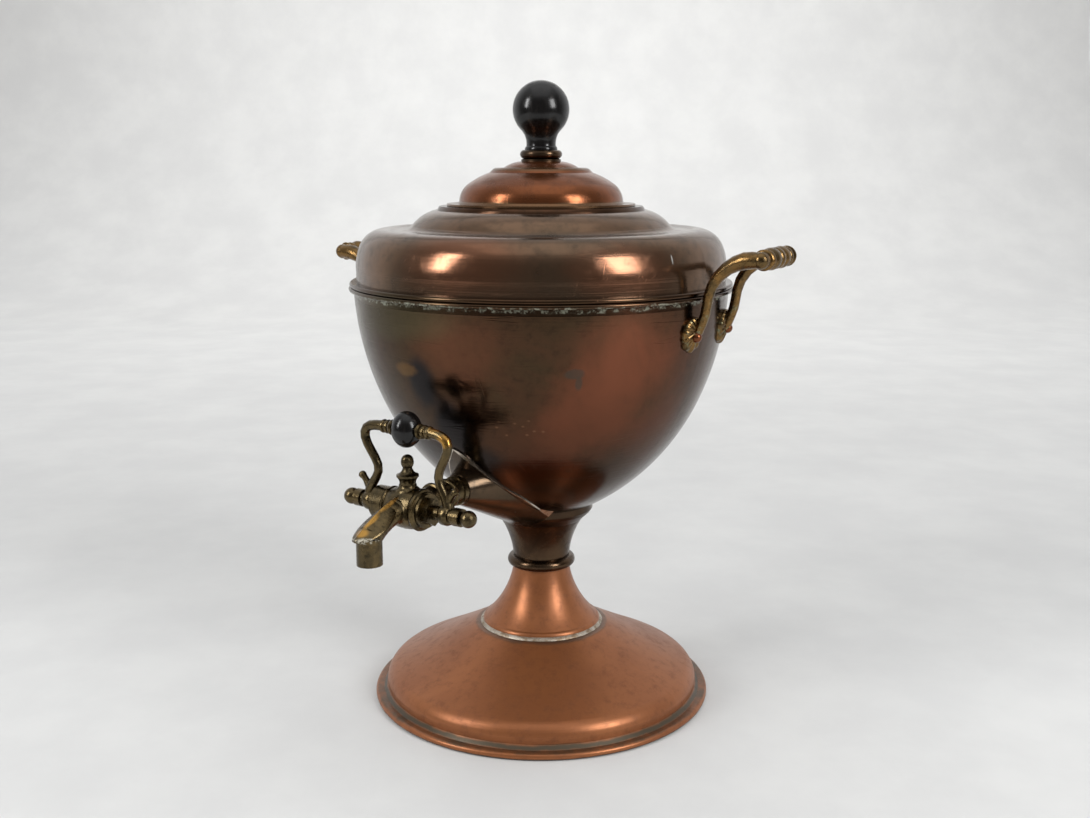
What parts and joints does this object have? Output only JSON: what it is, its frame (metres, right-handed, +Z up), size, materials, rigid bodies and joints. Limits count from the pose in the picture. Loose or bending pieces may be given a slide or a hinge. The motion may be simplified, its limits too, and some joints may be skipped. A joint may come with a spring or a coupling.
{
  "type": "tea urn",
  "caption": "Antique copper tea urn on a spun foot, with brass side handles, a brass lever tap and a lift-off lid with a round wooden knob.",
  "frame": {"origin": "middle of the foot, on the surface that it stands on", "axes": "+Z up along the axis of the urn; the tap points along -Y; the handles stand at +X and -X"},
  "size_m": [0.3257, 0.3015, 0.3999],
  "materials": {
    "copper_foot": "satin",
    "copper_bowl": "satin",
    "copper_lid": "satin",
    "copper_inside": "satin",
    "bronze": "satin",
    "brass_tap": "satin",
    "brass_handles": "satin",
    "ebonised_wood": "gloss",
    "steel": "satin",
    "solder": "satin",
    "leather": "matte"
  },
  "bodies": {
    "urn": {"foot_rim": "copper_foot", "foot_dome": "copper_foot", "solder_ring": "solder", "stem_cone": "copper_foot", "stem_bead": "bronze", "stem_collar": "bronze", "bowl": "copper_bowl", "rim_bead": "copper_bowl", "shoulder": "copper_bowl", "neck_ring": "brass_tap", "tap_fairing": "copper_bowl", "tap_seat": "brass_tap", "tap_body": "brass_tap", "tap_wall_flange": "brass_tap", "tap_back_washer": "leather", "tap_back_nut": "brass_tap", "tap_finial": "brass_tap", "spout": "brass_tap", "spout_outlet": "brass_tap", "handle_right": "brass_handles", "handle_left": "brass_handles", "handle_rivets_right": "copper_lid", "handle_rivets_left": "copper_lid", "rivet_washers_right": "copper_inside", "rivet_washers_left": "copper_inside"},
    "tap_lever": {"plug": "brass_tap", "plug_washer": "brass_tap", "plug_nut": "brass_tap", "lever_arm_left": "brass_tap", "lever_arm_right": "brass_tap", "lever_ball": "ebonised_wood", "lever_tie_rod": "steel", "ball_collar_left": "brass_tap", "ball_collar_right": "brass_tap", "shaft_ring_left": "brass_tap", "shaft_ring_right": "brass_tap", "end_ball_left": "brass_tap", "end_ball_right": "brass_tap"},
    "lid": {"lid_dome": "copper_lid", "lid_skirt": "copper_inside", "knob_ferrule": "bronze", "lid_knob": "ebonised_wood", "knob_stud": "steel", "knob_washer": "steel", "knob_nut": "steel"}
  },
  "joints": [
    {"name": "tap_lever_turn", "type": "hinge", "parent": "urn", "child": "tap_lever", "pos_m": [0, -0.13372, 0.157], "axis": [1, 0, 0], "range_deg": [0, 80]},
    {"name": "lid_lift", "type": "slide", "parent": "urn", "child": "lid", "axis": [0, 0, 1], "range_m": [0, 0.06]}
  ]
}
